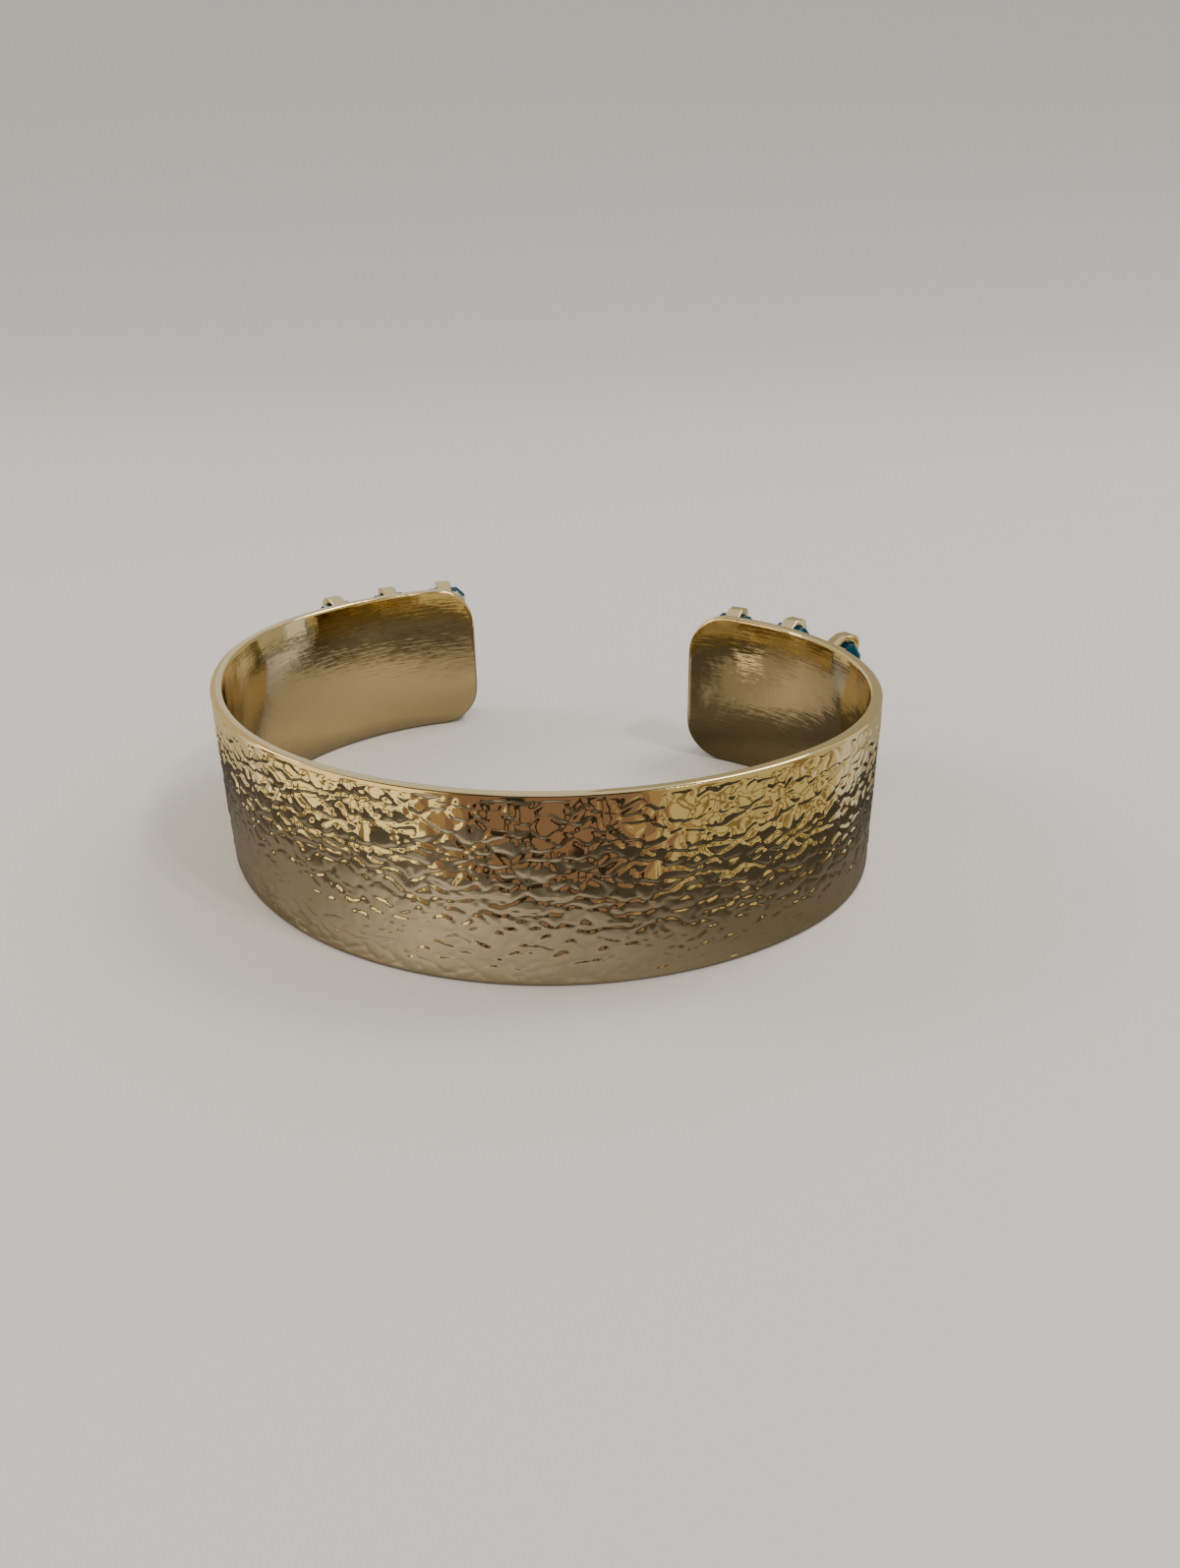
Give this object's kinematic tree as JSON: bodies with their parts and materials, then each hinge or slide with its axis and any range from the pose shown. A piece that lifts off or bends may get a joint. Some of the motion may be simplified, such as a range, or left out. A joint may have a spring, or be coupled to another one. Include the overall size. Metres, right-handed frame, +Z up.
{
  "type": "cuff bracelet",
  "caption": "Open cuff bracelet: a hammered, polished gold-tone band with round-cornered ends and a row of long blue step-cut stones in claw settings on each arm.",
  "frame": {"origin": "centre of the cuff's bounding box, on the plane that its lower edge rests on", "axes": "+X across the cuff, +Y from the middle of its back out through the gap between its ends, +Z up along the height of the band"},
  "size_m": [0.0657, 0.0546, 0.0166],
  "materials": {
    "gold_tone": "polished, hammered outside and smooth inside",
    "blue_stone": "polished facets"
  },
  "bodies": {
    "root": {"cuff_band": "gold_tone", "stone_left_1": "blue_stone", "stone_left_2": "blue_stone", "stone_left_3": "blue_stone", "stone_right_1": "blue_stone", "stone_right_2": "blue_stone", "stone_right_3": "blue_stone"}
  },
  "joints": []
}
